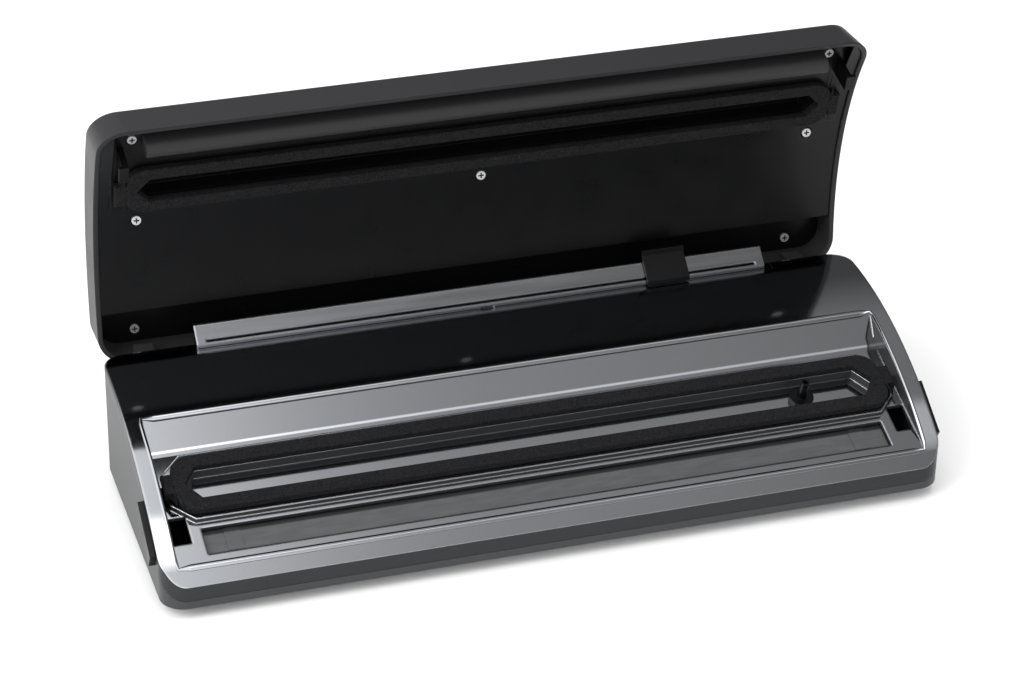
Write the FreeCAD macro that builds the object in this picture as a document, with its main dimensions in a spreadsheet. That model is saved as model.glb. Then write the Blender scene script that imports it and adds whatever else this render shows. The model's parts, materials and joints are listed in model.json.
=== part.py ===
import FreeCAD, Part
import math
import os

import Sketcher
from FreeCAD import Placement, Rotation, Vector

doc = FreeCAD.newDocument("VacuumSealer")

# Driving dimensions in millimetres: X along the length, front towards -Y, Z up
SIZES = {
    "body_length": 400,
    "front_y": -88,
    "rear_y": 52.5,
    "bottom_z": 2,
    "crown_z": 66,
    "front_z": 20.67,
    "crown_from_rear": 15.5,
    "corner_radius": 12,
    "edge_band": 8,
    "skin": 2.5,
    "taper_height": 9,
    "taper_inset": 4,
    "rim_drop": 4,
    "rim_run": 5,
    "play": 0.4,
    "end_wall": 8.5,
    "front_wall": 6,
    "wall_run": 10,
    "floor_run": 69,
    "floor_drop": 18.8,
    "plateau_height": 2.5,
    "plateau_end": 4.5,
    "plateau_back": 6,
    "plateau_deep": 40.5,
    "gasket_thick": 4,
    "gasket_end": 3,
    "gasket_edge": 4,
    "gasket_lip": 2.5,
    "gasket_corner": 10,
    "tab_end": 2.5,
    "tab_deep": 13,
    "tab_step": 2.5,
    "ring_back": 7.2,
    "ring_front": 7.5,
    "ring_end": 6,
    "chamber_point": 6.5,
    "chamber_deep": 3.5,
    "tray_wall": 1.6,
    "nozzle_from_tip": 37,
    "nozzle_bore": 1.3,
    "nozzle_tube": 2.3,
    "nozzle_flange": 6.2,
    "flange_thick": 1.8,
    "nozzle_seal_thick": 1.2,
    "nozzle_height": 14,
    "nozzle_stem": 12,
    "slot_end": 16.5,
    "slot_step": 4.2,
    "slot_wide": 15.4,
    "bar_deep": 6,
    "bar_proud": -2.6,
    "strip_wide": 4,
    "strip_thick": 0.3,
    "tape_thick": 0.3,
    "clip_long": 8,
    "clip_from_end": 10,
    "clip_thick": 0.4,
    "hole_step": 6.5,
    "hole_end": 1,
    "hole_lead": 4.7,
    "hole_long": 16.5,
    "rail_end": 48,
    "rail_inset": 6.5,
    "rail_deep": 8.5,
    "rail_sink": 0.8,
    "rail_nose": 3,
    "rail_rise": 7.4,
    "blade_slot": 0.9,
    "slot_from_nose": 1.6,
    "blade_slot_end": 5,
    "blade_long": 10,
    "blade_thick": 0.5,
    "notch_radius": 4,
    "recess_extra": 5,
    "slider_from_end": 54,
    "slider_wide": 23,
    "slider_wall": 1.6,
    "slider_lift": 1.6,
    "slider_wing": 1.8,
    "button_from_front": 30,
    "button_long": 30,
    "button_tall": 9,
    "button_proud": 3,
    "button_travel": 1.4,
    "button_flange": 1,
    "button_lip": 1.5,
    "hinge_set": 3.5,
    "hinge_drop": 7.5,
    "knuckle_radius": 3,
    "knuckle_long": 10,
    "knuckle_from_end": 40,
    "web_high": 12,
    "hinge_pin": 1.8,
    "pin_play": 0.05,
    "open_angle": 94,
    "lid_inset": 1.5,
    "lid_lip": 6,
    "lid_thick": 22,
    "lid_gap": 0.5,
    "panel_gap": 1.5,
    "panel_thick": 2,
    "panel_play": 0.2,
    "riser_set": 17,
    "cutter_room": 15,
    "roof_high": 16,
    "seal_gap": 0.3,
    "lid_ring_lip": 3,
    "lid_ring_front": 4.5,
    "lid_chamber_inset": 3.5,
    "lid_chamber_deep": 8.5,
    "lid_chamber_wall": 2,
    "lid_chamber_lip": 2,
    "press_wide": 8.5,
    "hook_thick": 3,
    "hook_foot": 5,
    "hook_reach": 5,
    "hook_play": 3,
    "screw_shank": 1.4,
    "screw_head": 2.4,
    "screw_head_high": 1.4,
    "screw_long": 9,
    "short_screw": 3,
    "counterbore": 3.2,
    "boss_radius": 3.5,
    "screw_from_slot": 5,
    "screw_from_end": 14.5,
    "screw_from_wall": 18,
    "screw_from_rear": 2.5,
    "control_long": 112,
    "control_deep": 26,
    "control_from_rear": 44.5,
    "control_thick": 0.8,
    "control_board_z": 5.6,
    "key_long": 17,
    "key_deep": 12,
    "key_margin": 8,
    "key_proud": 1.4,
    "key_stem": 3,
    "lens_radius": 1.5,
    "lens_from_key": 3,
    "stud_radius": 3,
    "stud_inset": 6,
    "foot_radius": 7,
    "foot_from_end": 28,
    "foot_from_front": 22,
    "foot_from_rear": 14.5,
    "inlet_from_end": 70,
    "inlet_wide": 22,
    "inlet_tall": 14,
    "inlet_deep": 16,
    "inlet_wall": 2,
    "inlet_lift": 22,
    "inlet_pin": 1.2,
    "inlet_pin_pitch": 8.6,
    "pump_from_rear": 36.5,
    "pump_size": 36,
    "motor_radius": 14,
    "motor_long": 48,
    "hose_radius": 3.5,
    "transformer_from_end": 80,
    "transformer_long": 54,
    "transformer_side": 40,
    "board_gap": 15,
    "board_long": 96,
    "board_deep": 46,
    "board_thick": 1.6,
    "post_high": 5,
    "relay_long": 19,
    "relay_deep": 16,
    "relay_tall": 15,
    "capacitor_radius": 8,
    "capacitor_tall": 24,
    "switch_size": 10,
}

# Sizes that follow from the driving ones
TIED = {
    "half_length": "body_length / 2",
    "arc_y": "rear_y - crown_from_rear",
    "top_radius": "((arc_y - front_y) ^ 2 + (crown_z - front_z) ^ 2) / (2 * (crown_z - front_z))",
    "arc_z": "crown_z - top_radius",
    "trough_half": "half_length - end_wall",
    "floor_front_y": "front_y + front_wall",
    "floor_back_y": "floor_front_y + floor_run",
    "wall_top_y": "floor_back_y + wall_run",
    "floor_back_z": "crown_z - floor_drop",
    "plateau_half": "trough_half - plateau_end",
    "plateau_front": "plateau_back + plateau_deep",
    "gasket_half": "plateau_half - gasket_end",
    "gasket_back": "plateau_back + gasket_edge",
    "gasket_front": "plateau_front - gasket_lip",
    "tab_half": "trough_half - tab_end",
    "tab_back": "chamber_back + tab_step",
    "tab_front": "tab_back + tab_deep",
    "chamber_tip": "gasket_half - ring_end",
    "chamber_half": "chamber_tip - chamber_point",
    "chamber_back": "gasket_back + ring_back",
    "chamber_front": "gasket_front - ring_front",
    "nozzle_x": "chamber_tip - nozzle_from_tip",
    "slot_half": "trough_half - slot_end",
    "slot_back": "plateau_front + slot_step",
    "slot_front": "slot_back + slot_wide",
    "hole_in": "slot_half + hole_step",
    "hole_out": "trough_half - hole_end",
    "hole_back": "plateau_front - hole_lead",
    "hole_front": "hole_back + hole_long",
    "rail_half": "half_length - rail_end",
    "rail_front_y": "rear_y - rail_inset",
    "rail_back_y": "rail_front_y + rail_deep",
    "rail_bottom_z": "crown_z - rail_sink",
    "slider_x": "rail_half - slider_from_end",
    "button_y": "front_y + button_from_front",
    "hinge_y": "rear_y + hinge_set",
    "hinge_z": "crown_z - hinge_drop",
    "knuckle_x": "half_length - knuckle_from_end",
    "lid_half": "half_length - lid_inset",
    "lid_front_y": "front_y + lid_lip",
    "lid_rear_y": "hinge_y + hinge_set",
    "cutter_room_y": "rail_front_y - cutter_room",
    "cutter_room_z": "crown_z + roof_high",
    "lid_gasket_back": "chamber_back - lid_ring_lip",
    "lid_gasket_front": "chamber_front + lid_ring_front",
    "lid_chamber_back": "chamber_back + lid_chamber_inset",
    "lid_chamber_front": "chamber_front - lid_chamber_lip",
    "front_screw_x": "slot_half + screw_from_slot",
    "rear_screw_x": "trough_half - screw_from_end",
    "bend_screw_y": "wall_top_y - screw_from_wall",
    "roof_screw_y": "rear_y - screw_from_rear",
    "control_y": "rear_y - control_from_rear",
    "key_pitch": "(control_long - key_margin) / 4",
    "board_top": "crown_z + control_board_z",
    "foot_x": "half_length - foot_from_end",
    "foot_front_y": "front_y + foot_from_front",
    "foot_rear_y": "rear_y - foot_from_rear",
    "inlet_x": "half_length - inlet_from_end",
    "inlet_z": "bottom_z + inlet_lift",
    "pump_y": "rear_y - pump_from_rear",
    "transformer_x": "transformer_from_end - half_length",
    "board_x": "transformer_x + transformer_long / 2 + board_gap + board_long / 2",
    "riser_y": "floor_back_y - riser_set",
}
ALIASES = list(SIZES) + list(TIED)
sheet = doc.addObject("Spreadsheet::Sheet", "Dims")
for row, alias in enumerate(ALIASES, start=1):
    sheet.set("A%d" % row, alias)
    sheet.setAlias("B%d" % row, alias)
for row, alias in enumerate(ALIASES, start=1):
    sheet.set("B%d" % row, "=" + TIED[alias] if alias in TIED else str(SIZES[alias]))
doc.recompute()


def size(name):
    return float(getattr(sheet, name))


def bound(text):
    """Write the sheet's name before every alias in an expression."""
    word = ""
    out = ""
    for letter in str(text) + " ":
        if letter.isalnum() or letter == "_":
            word += letter
        else:
            out += "Dims." + word if word in ALIASES else word
            out += letter
            word = ""
    return out.strip()


def worth(text):
    """Work out an expression of aliases as a plain number."""
    return float(sheet.evalExpression(bound(text)))


count = [0]


def new(kind, name):
    count[0] += 1
    return doc.addObject(kind, "%s_%d" % (name, count[0]))


def box(x0, x1, y0, y1, z0, z1):
    item = new("Part::Box", "Block")
    for prop, text in (("Length", "(%s) - (%s)" % (x1, x0)),
                       ("Width", "(%s) - (%s)" % (y1, y0)),
                       ("Height", "(%s) - (%s)" % (z1, z0)),
                       ("Placement.Base.x", x0),
                       ("Placement.Base.y", y0),
                       ("Placement.Base.z", z0)):
        item.setExpression(prop, bound(text))
    return item


TURNS = {"x": Rotation(Vector(0, 1, 0), 90), "y": Rotation(Vector(1, 0, 0), -90), "z": Rotation()}


def rod(axis, radius, length, x, y, z):
    item = new("Part::Cylinder", "Rod")
    item.Placement = Placement(Vector(), TURNS[axis])
    for prop, text in (("Radius", radius),
                       ("Height", length),
                       ("Placement.Base.x", x),
                       ("Placement.Base.y", y),
                       ("Placement.Base.z", z)):
        item.setExpression(prop, bound(text))
    return item


def fuse(*items):
    if len(items) == 1:
        return items[0]
    item = new("Part::MultiFuse", "Union")
    item.Shapes = list(items)
    return item


def common(a, b):
    item = new("Part::MultiCommon", "Overlap")
    item.Shapes = [a, b]
    return item


def cut(base, *tools):
    item = new("Part::Cut", "Cut")
    item.Base = base
    item.Tool = fuse(*tools)
    return item


def plane_of(body, role):
    return next(item for item in body.Origin.OriginFeatures if item.Role == role)


def prism(points, length, role="XY_Plane", start="0", middle=False):
    """Pad a closed outline whose corners are tied to the sheet."""
    body = new("PartDesign::Body", "Body")
    sketch = body.newObject("Sketcher::SketchObject", body.Name + "_sketch")
    sketch.AttachmentSupport = [(plane_of(body, role), "")]
    sketch.MapMode = "FlatFace"
    sketch.AttachmentOffset = Placement(Vector(0, 0, worth(start)), Rotation())
    sketch.setExpression("AttachmentOffset.Base.z", bound(start))
    corners = [Vector(worth(a), worth(b), 0) for a, b in points]
    for here, after in zip(corners, corners[1:] + corners[:1]):
        sketch.addGeometry(Part.LineSegment(here, after))
    total = len(points)
    for index in range(total):
        sketch.addConstraint(Sketcher.Constraint("Coincident", index, 2, (index + 1) % total, 1))
    for index, pair in enumerate(points):
        for kind, text, place in zip(("DistanceX", "DistanceY"), pair, corners[index]):
            number = sketch.addConstraint(Sketcher.Constraint(kind, -1, 1, index, 1, place))
            sketch.setExpression("Constraints[%d]" % number, bound(text))
    pad = body.newObject("PartDesign::Pad", body.Name + "_pad")
    pad.Profile = sketch
    pad.setExpression("Length", bound(length))
    pad.Midplane = middle
    return body


def rounded(x0, x1, y0, y1, z0, z1, radius):
    """Make a block with its four upright edges rounded."""
    body = prism([(x0, y0), (x1, y0), (x1, y1), (x0, y1)], "(%s) - (%s)" % (z1, z0), start=z0)
    doc.recompute()
    names = []
    for index, edge in enumerate(body.Shape.Edges, start=1):
        if abs(edge.tangentAt(edge.FirstParameter).z) > 0.99:
            names.append("Edge%d" % index)
    pad = body.Tip
    fillet = body.newObject("PartDesign::Fillet", body.Name + "_fillet")
    fillet.Base = (pad, names)
    fillet.setExpression("Radius", bound(radius))
    body.Tip = fillet
    return body


# The trough floor leans down to the front, so its fittings are drawn flat and then tipped with it
FLOOR_FROM_CROWN = size("arc_y") - size("floor_front_y")
TOP_AT_FRONT = size("arc_z") + math.sqrt(size("top_radius") ** 2 - FLOOR_FROM_CROWN ** 2)
FLOOR_TILT = math.degrees(math.atan2(size("floor_back_z") - TOP_AT_FRONT, size("floor_run")))
FLOOR_BACK = Vector(0, size("floor_back_y"), size("floor_back_z"))
FLOOR = Placement(FLOOR_BACK, Rotation(Vector(1, 0, 0), FLOOR_TILT))
HINGE = Vector(0, size("hinge_y"), size("hinge_z"))
OPEN = Placement(Vector(), Rotation(Vector(1, 0, 0), -size("open_angle")), HINGE)


def moved(item, place):
    """Carry a piece, with all that its own sizes place, to another place."""
    carrier = new("Part::Compound", "Moved")
    carrier.Links = [item]
    carrier.Placement = place
    return carrier


def tipped(item):
    return moved(item, FLOOR)


nodes = []


def node(name, item, lid=False):
    """Name a finished piece; the lid's pieces are drawn shut and stand open."""
    piece = moved(item, OPEN) if lid else item
    piece.Label = name
    nodes.append((name, piece))


def arc_rod(offset):
    """Long cylinder of the body's curved top, grown by an offset."""
    return rod("x", "top_radius + (%s)" % offset, "body_length + 40", "-half_length - 20", "arc_y", "arc_z")


def both(make):
    """Fuse what a function makes at the right end and at the left end."""
    return fuse(make(1), make(-1))


def span(side, near, far):
    """Low and high X of something between two distances from the middle."""
    return (near, far) if side > 0 else ("-(%s)" % far, "-(%s)" % near)


# Reach of cutting blocks that run clear of everything
HIGH = "crown_z + 90"


def hexagon(half, tip, back, front, grow="0"):
    middle = "-((%s) + (%s)) / 2" % (back, front)
    return [("-(%s) - (%s)" % (tip, grow), middle),
            ("-(%s)" % half, "-(%s) - (%s)" % (front, grow)),
            (half, "-(%s) - (%s)" % (front, grow)),
            ("(%s) + (%s)" % (tip, grow), middle),
            (half, "-(%s) + (%s)" % (back, grow)),
            ("-(%s)" % half, "-(%s) + (%s)" % (back, grow))]


def chamfered(half, back, front, corner):
    return [("-(%s)" % half, "-(%s) + %s" % (front, corner)),
            ("-(%s) + %s" % (half, corner), "-(%s)" % front),
            ("(%s) - %s" % (half, corner), "-(%s)" % front),
            (half, "-(%s) + %s" % (front, corner)),
            (half, "-(%s) - %s" % (back, corner)),
            ("(%s) - %s" % (half, corner), "-(%s)" % back),
            ("-(%s) + %s" % (half, corner), "-(%s)" % back),
            ("-(%s)" % half, "-(%s) - %s" % (back, corner))]


CHAMBER = ("chamber_half", "chamber_tip", "chamber_back", "chamber_front")
LID_CHAMBER = ("chamber_half", "chamber_tip", "lid_chamber_back", "lid_chamber_front")


def about(middle, length):
    """Low and high ends of a length about a middle."""
    return "(%s) - (%s) / 2" % (middle, length), "(%s) + (%s) / 2" % (middle, length)


def base_block(inset, low, high, radius):
    """Upright block of the body's plan, drawn in by an inset."""
    return rounded("-half_length + (%s)" % inset, "half_length - (%s)" % inset,
                   "front_y + (%s)" % inset, "rear_y - (%s)" % inset, low, high, radius)


def trough_outline(grow):
    """Side outline of the trough, grown outwards by the wall's thickness."""
    front = "(arc_z + sqrt(top_radius ^ 2 - (floor_front_y - arc_y) ^ 2))"
    slope = "(floor_back_z - %s) / (floor_back_y - floor_front_y)" % front
    return [("floor_front_y", front + " - (%s)" % grow),
            ("floor_back_y + (%s)" % grow, "floor_back_z - (%s) * (1 - %s)" % (grow, slope)),
            ("wall_top_y + (%s)" % grow, "arc_z + top_radius - 3"),
            ("wall_top_y + (%s)" % grow, HIGH),
            ("floor_front_y", HIGH)]


def trough_prism(grow):
    return prism(trough_outline(grow), "2 * (trough_half + (%s))" % grow, role="YZ_Plane", middle=True)


def latch_hole(side):
    x0, x1 = span(side, "hole_in", "hole_out")
    return tipped(box(x0, x1, "-hole_front", "-hole_back", "-20", "20"))


# Slope of the side line at the release buttons, which lean with it
SEAM_RADIUS = size("top_radius") - size("edge_band")
BUTTON_REACH = size("button_y") - size("arc_y")
BUTTON_TILT = math.degrees(math.asin(BUTTON_REACH / SEAM_RADIUS))
BUTTON_MIDDLE = Vector(0, size("button_y"), size("arc_z") + math.sqrt(SEAM_RADIUS ** 2 - BUTTON_REACH ** 2))


def leaning(item):
    """Lean a piece drawn about the middle of a release button along the side line."""
    return moved(item, Placement(BUTTON_MIDDLE, Rotation(Vector(1, 0, 0), -BUTTON_TILT)))


def button_block(side, near, far, grow):
    x0, x1 = span(side, near, far)
    return leaning(box(x0, x1, "-button_long / 2 - (%s)" % grow, "button_long / 2 + (%s)" % grow,
                       "-button_tall / 2 - (%s)" % grow, "button_tall / 2 + (%s)" % grow))


def button_window(side):
    wall = "half_length - skin"
    opening = button_block(side, wall + " - 1", "half_length + button_proud + 2", "play")
    travel = " - button_flange - button_travel - 2 * play"
    room = button_block(side, wall + travel, wall, "button_lip + play")
    return fuse(opening, room)


def floor_screw(radius, low, high, x, y):
    return rod("z", radius, "(%s) - (%s)" % (high, low), x, y, low)


SCREW_SPOTS = [("%s(%s)" % (sign, x), y) for sign in ("-", "")
               for x, y in (("half_length - corner_radius - 2", "rear_y - corner_radius"),
                            ("half_length * 0.3", "rear_y - 8"),
                            ("half_length - 50", "front_y + 42"))]


def lower_housing():
    outer = base_block("0", "bottom_z", HIGH, "corner_radius")
    doc.recompute()
    faces = outer.Shape.Faces
    lowest = min(range(len(faces)), key=lambda index: faces[index].CenterOfMass.z)
    tip = outer.Tip
    chamfer = outer.newObject("PartDesign::Chamfer", outer.Name + "_taper")
    chamfer.Base = (tip, ["Face%d" % (lowest + 1)])
    chamfer.ChamferType = "Two distances"
    chamfer.FlipDirection = True
    chamfer.setExpression("Size", bound("taper_height"))
    chamfer.setExpression("Size2", bound("taper_inset"))
    outer.Tip = chamfer
    shell = common(outer, arc_rod("-edge_band"))
    hollow = base_block("skin + taper_inset / 2", "bottom_z + skin", HIGH, "corner_radius - skin")
    inlet = box(*about("inlet_x", "inlet_wide"), "rear_y - 8", "rear_y + 5", *about("inlet_z", "inlet_tall"))
    bores = [floor_screw("screw_shank + pin_play", "bottom_z - 1", "bottom_z + skin + 1", x, y)
             for x, y in SCREW_SPOTS]
    ports = [both(button_window), inlet] + bores
    node("lower_housing", cut(shell, hollow, trough_prism("skin + play"), *ports))


def ear(side):
    """Base knuckle of the lid hinge, standing off the rear wall."""
    x0, x1 = span(side, "knuckle_x", "knuckle_x + knuckle_long")
    web = box(x0, x1, "rear_y", "hinge_y", "hinge_z - knuckle_radius", "hinge_z + knuckle_radius")
    return fuse(web, rod("x", "knuckle_radius", "knuckle_long", x0, "hinge_y", "hinge_z"))


def pin_bore(side, near, far):
    x0, x1 = span(side, near, far)
    return rod("x", "hinge_pin + pin_play", "(%s) - (%s)" % (x1, x0), x0, "hinge_y", "hinge_z")


def ear_bore(side):
    return pin_bore(side, "knuckle_x - 1", "knuckle_x + knuckle_long + 1")


def upper_housing():
    blank = common(base_block("0", "bottom_z", HIGH, "corner_radius"), arc_rod("0"))
    inside = common(base_block("skin", "bottom_z - 1", HIGH, "corner_radius - skin"), arc_rod("-skin"))
    shell = cut(blank, arc_rod("-edge_band"), inside)
    tub = common(trough_prism("skin"), arc_rod("0"))
    plateau = tipped(prism(chamfered("plateau_half", "plateau_back", "plateau_front", "gasket_corner"),
                           "plateau_height + 1", start="-1"))
    rim = prism([("front_y + rim_run", "arc_z + sqrt(top_radius ^ 2 - (front_y + rim_run - arc_y) ^ 2)"),
                 ("front_y - 1", "arc_z + sqrt(top_radius ^ 2 - (front_y - arc_y) ^ 2) - rim_drop"),
                 ("front_y - 1", HIGH),
                 ("front_y + rim_run", HIGH)], "body_length + 10", role="YZ_Plane", middle=True)
    chamber = tipped(prism(hexagon(*CHAMBER), "40", start="-20"))
    slot = tipped(box("-slot_half - play", "slot_half + play", "-slot_front - play", "-slot_back + play",
                      "-20", "20"))
    recess = box("-rail_half - recess_extra", "rail_half + recess_extra", "rail_front_y - 1", "rear_y + 5",
                 "rail_bottom_z", HIGH)
    body = cut(fuse(shell, tub), trough_prism("0"))
    ears = both(ear)
    node("upper_housing", cut(fuse(body, plateau, ears), chamber, slot, recess, rim, both(latch_hole),
                                     both(button_window), both(ear_bore)))


def vacuum_tray():
    cup = prism(hexagon(*CHAMBER, "tray_wall"), "chamber_deep - skin", start="-chamber_deep")
    pocket = prism(hexagon(*CHAMBER), "chamber_deep", start="-chamber_deep + tray_wall / 2")
    stem = rod("z", "nozzle_tube + pin_play", "40", "nozzle_x", "-(chamber_back + chamber_front) / 2", "-20")
    node("vacuum_tray", tipped(cut(cup, pocket, stem)))


def gasket(name, back, front, ring, low, lid=False):
    body = prism(chamfered("gasket_half", back, front, "gasket_corner"), "gasket_thick", start=low)
    tab = box("-tab_half", "tab_half", "-tab_front", "-tab_back", low, "(%s) + gasket_thick" % low)
    hole = prism(hexagon(*ring), "gasket_thick + 2", start="(%s) - 1" % low)
    node(name, tipped(cut(fuse(body, tab), hole)), lid)


def nozzle():
    y = "-(chamber_back + chamber_front) / 2"
    low = "-chamber_deep + tray_wall / 2"
    flange = rod("z", "nozzle_flange", "flange_thick", "nozzle_x", y, low + " + nozzle_seal_thick")
    tube = rod("z", "nozzle_tube", "nozzle_height + nozzle_stem", "nozzle_x", y, low + " - nozzle_stem")
    bore = rod("z", "nozzle_bore", "nozzle_height + nozzle_stem + 2", "nozzle_x", y,
               low + " - nozzle_stem - 1")
    node("vacuum_nozzle", tipped(cut(fuse(flange, tube), bore)))
    ring = rod("z", "nozzle_flange", "nozzle_seal_thick", "nozzle_x", y, low)
    through = rod("z", "nozzle_tube", "nozzle_seal_thick + 2", "nozzle_x", y, low + " - 1")
    node("nozzle_seal", tipped(cut(ring, through)))


def seal_bar():
    top = "bar_proud"
    whole = ("-slot_half", "slot_half")
    deep = ("-slot_front", "-slot_back")
    groove = about("-(slot_back + slot_front) / 2", "strip_wide")
    trench = box("-slot_half - 1", "slot_half + 1", *groove, top + " - strip_thick", top + " + 1")
    node("seal_bar", tipped(cut(box(*whole, *deep, "-bar_deep", top), trench)))
    node("heating_strip", tipped(box(*whole, *groove, top + " - strip_thick", top)))
    node("ptfe_tape", tipped(box(*whole, *deep, top, top + " + tape_thick")))
    over = top + " + tape_thick"
    clips = []
    for side in (1, -1):
        x0, x1 = span(side, "slot_half - clip_from_end - clip_long", "slot_half - clip_from_end")
        clips.append(box(x0, x1, *deep, over, over + " + clip_thick"))
    node("strip_clips", tipped(fuse(*clips)))


def rail_prism(grow, foot, half, x):
    """Wedge of the rail's side outline, grown outwards, about a place along the rail."""
    slope = "rail_rise / rail_deep"
    lift = "((%s) * (sqrt(rail_rise ^ 2 + rail_deep ^ 2) / rail_deep %s %s))"
    nose = "rail_bottom_z + rail_nose + " + lift % (grow, "-", slope)
    crest = "rail_bottom_z + rail_nose + rail_rise + " + lift % (grow, "+", slope)
    outline = [("rail_front_y - (%s)" % grow, foot), ("rail_back_y + (%s)" % grow, foot),
               ("rail_back_y + (%s)" % grow, crest), ("rail_front_y - (%s)" % grow, nose)]
    return prism(outline, "2 * (%s)" % half, role="YZ_Plane", start="%s - (%s)" % (x, half))


def cutter():
    middle = "rail_front_y + slot_from_nose"
    wedge = rail_prism("0", "rail_bottom_z", "rail_half", "0")
    notch = rod("z", "notch_radius", "rail_nose", "0", "rail_front_y - notch_radius / 2",
                "rail_bottom_z - rail_nose / 2")
    blade_slot = box("-rail_half + blade_slot_end", "rail_half - blade_slot_end", *about(middle, "blade_slot"),
                     "rail_bottom_z - 1", HIGH)
    node("cutter_rail", cut(wedge, notch, blade_slot))
    low = "rail_bottom_z + slider_lift"
    half = "slider_wide / 2"
    body = rail_prism("play + slider_wall", low, half, "slider_x")
    tunnel = rail_prism("play", "rail_bottom_z - 1", half + " + 5", "slider_x")
    back = "rail_back_y + play + slider_wall"
    top = "rail_bottom_z + rail_nose + rail_rise + (play + slider_wall) * 2"
    wing = box(*about("slider_x", "slider_wide"), back + " - slider_wall", back, low, top + " + slider_wing")
    node("cutter_slider", cut(fuse(body, wing), tunnel))
    room = rail_prism("play", "rail_bottom_z + play", "blade_long / 2", "slider_x")
    sheet_metal = box(*about("slider_x", "blade_long"), *about(middle, "blade_thick"), "rail_bottom_z", HIGH)
    node("cutter_blade", common(sheet_metal, room))


def release_button(side):
    """Cap that shows at the end wall, with the flange that keeps it in."""
    wall = "half_length - skin - play"
    cap = button_block(side, wall, "half_length + button_proud", "0")
    return fuse(cap, button_block(side, wall + " - button_flange", wall, "button_lip"))


def fittings():
    feet = [rod("z", "foot_radius", "bottom_z", x, y, "0") for x in ("foot_x", "-foot_x")
            for y in ("foot_front_y", "foot_rear_y")]
    node("rubber_feet", fuse(*feet))
    screws = []
    for x, y in SCREW_SPOTS:
        head = floor_screw("screw_head", "bottom_z - screw_head_high", "bottom_z", x, y)
        shank = floor_screw("screw_shank", "bottom_z", "bottom_z + skin + 6", x, y)
        screws.append(fuse(head, shank))
    node("housing_screws", fuse(*screws))
    pins = []
    for side in (1, -1):
        x0, x1 = span(side, "knuckle_x", "knuckle_x + 2 * knuckle_long + 2 * play")
        pins.append(rod("x", "hinge_pin", "(%s) - (%s)" % (x1, x0), x0, "hinge_y", "hinge_z"))
    node("hinge_pins", fuse(*pins))


def vacuum_hose():
    """Hose from the nozzle's stem under the tray to the pump, bent once."""
    middle = -(size("chamber_back") + size("chamber_front")) / 2
    low = -size("chamber_deep") + size("tray_wall") / 2 - size("nozzle_stem")
    start = FLOOR.multVec(Vector(size("nozzle_x"), middle, low))
    down = FLOOR.Rotation.multVec(Vector(0, 0, -1))
    level = size("bottom_z") + size("skin") + 2.5 * size("hose_radius")
    corner = start + down * ((start.z - level) / -down.z)
    end = Vector(corner.x, size("pump_y") - size("pump_size") / 2, level)
    along = (end - corner).normalize()
    half_turn = down.getAngle(along) / 2
    reach = 0.45 * (corner - start).Length
    radius = reach / math.tan(half_turn)
    first = corner - down * reach
    last = corner + along * reach
    inward = (along - down).normalize()
    mid = corner + inward * (radius / math.cos(half_turn) - radius)
    path = Part.Wire([Part.LineSegment(start, first).toShape(), Part.Arc(first, mid, last).toShape(),
                      Part.LineSegment(last, end).toShape()])
    tubes = []
    for ring in (size("hose_radius"), size("nozzle_bore")):
        circle = Part.Wire([Part.Circle(start, down, ring).toShape()])
        tubes.append(path.makePipeShell([circle], True, True))
    item = new("Part::Feature", "Hose")
    item.Shape = tubes[0].cut(tubes[1])
    node("vacuum_hose", item)


def internals():
    floor = "bottom_z + skin"
    node("vacuum_pump", box(*about("inlet_x", "pump_size"), *about("pump_y", "pump_size"), floor,
                            floor + " + pump_size"))
    node("pump_motor", rod("x", "motor_radius", "motor_long", "inlet_x - pump_size / 2 - motor_long", "pump_y",
                           floor + " + pump_size / 2"))
    vacuum_hose()
    node("transformer", box(*about("transformer_x", "transformer_long"), *about("pump_y", "transformer_side"),
                            floor, floor + " + transformer_side"))
    posts = []
    for x in about("board_x", "board_long - 2 * stud_inset"):
        for y in about("pump_y", "board_deep - 2 * stud_inset"):
            posts.append(rod("z", "stud_radius", "post_high", x, y, floor))
    node("board_posts", fuse(*posts))
    deck = floor + " + post_high"
    top = deck + " + board_thick"
    node("power_board", box(*about("board_x", "board_long"), *about("pump_y", "board_deep"), deck, top))
    node("board_relay", box(*about("board_x - board_long / 4", "relay_long"), *about("pump_y", "relay_deep"),
                            top, top + " + relay_tall"))
    node("board_capacitor", rod("z", "capacitor_radius", "capacitor_tall", "board_x + board_long / 5", "pump_y",
                                top))
    deep = "rear_y - inlet_deep"
    block = box(*about("inlet_x", "inlet_wide"), deep, "rear_y", *about("inlet_z", "inlet_tall"))
    mouth = box(*about("inlet_x", "inlet_wide - 2 * inlet_wall"), deep + " + inlet_wall", "rear_y + 2",
                *about("inlet_z", "inlet_tall - 2 * inlet_wall"))
    node("mains_inlet", cut(block, mouth))
    pins = [rod("y", "inlet_pin", "inlet_deep - 5", x, "rear_y - inlet_deep + inlet_wall", "inlet_z")
            for x in about("inlet_x", "inlet_pin_pitch")]
    node("inlet_pins", fuse(*pins))
    switches = []
    for side in (1, -1):
        x0, x1 = span(side, "hole_in - 2 - switch_size * 1.2", "hole_in - 2")
        switches.append(box(x0, x1, "-slot_back + 1", "-slot_back + 1 + switch_size",
                            "-skin - switch_size", "-skin"))
    node("lid_switches", tipped(fuse(*switches)))


# Height of the lid panel's lower face above the trough floor: both gaskets and the gap between them
PANEL_W = "plateau_height + 2 * gasket_thick + seal_gap"
# Lid screws: two by the seal, in the floor's frame, three in the bend and two, short ones, by the hinge
FRONT_SCREWS = [("-front_screw_x", "-hole_front"), ("front_screw_x", "-hole_front")]
BEND_SCREWS = [("-rear_screw_x", "bend_screw_y"), ("0", "bend_screw_y"), ("rear_screw_x", "bend_screw_y")]
ROOF_SCREWS = [("-rear_screw_x", "roof_screw_y"), ("rear_screw_x", "roof_screw_y")]
KEYS = ["vacuum_key", "seal_key", "mode_key", "stop_key"]


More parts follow.
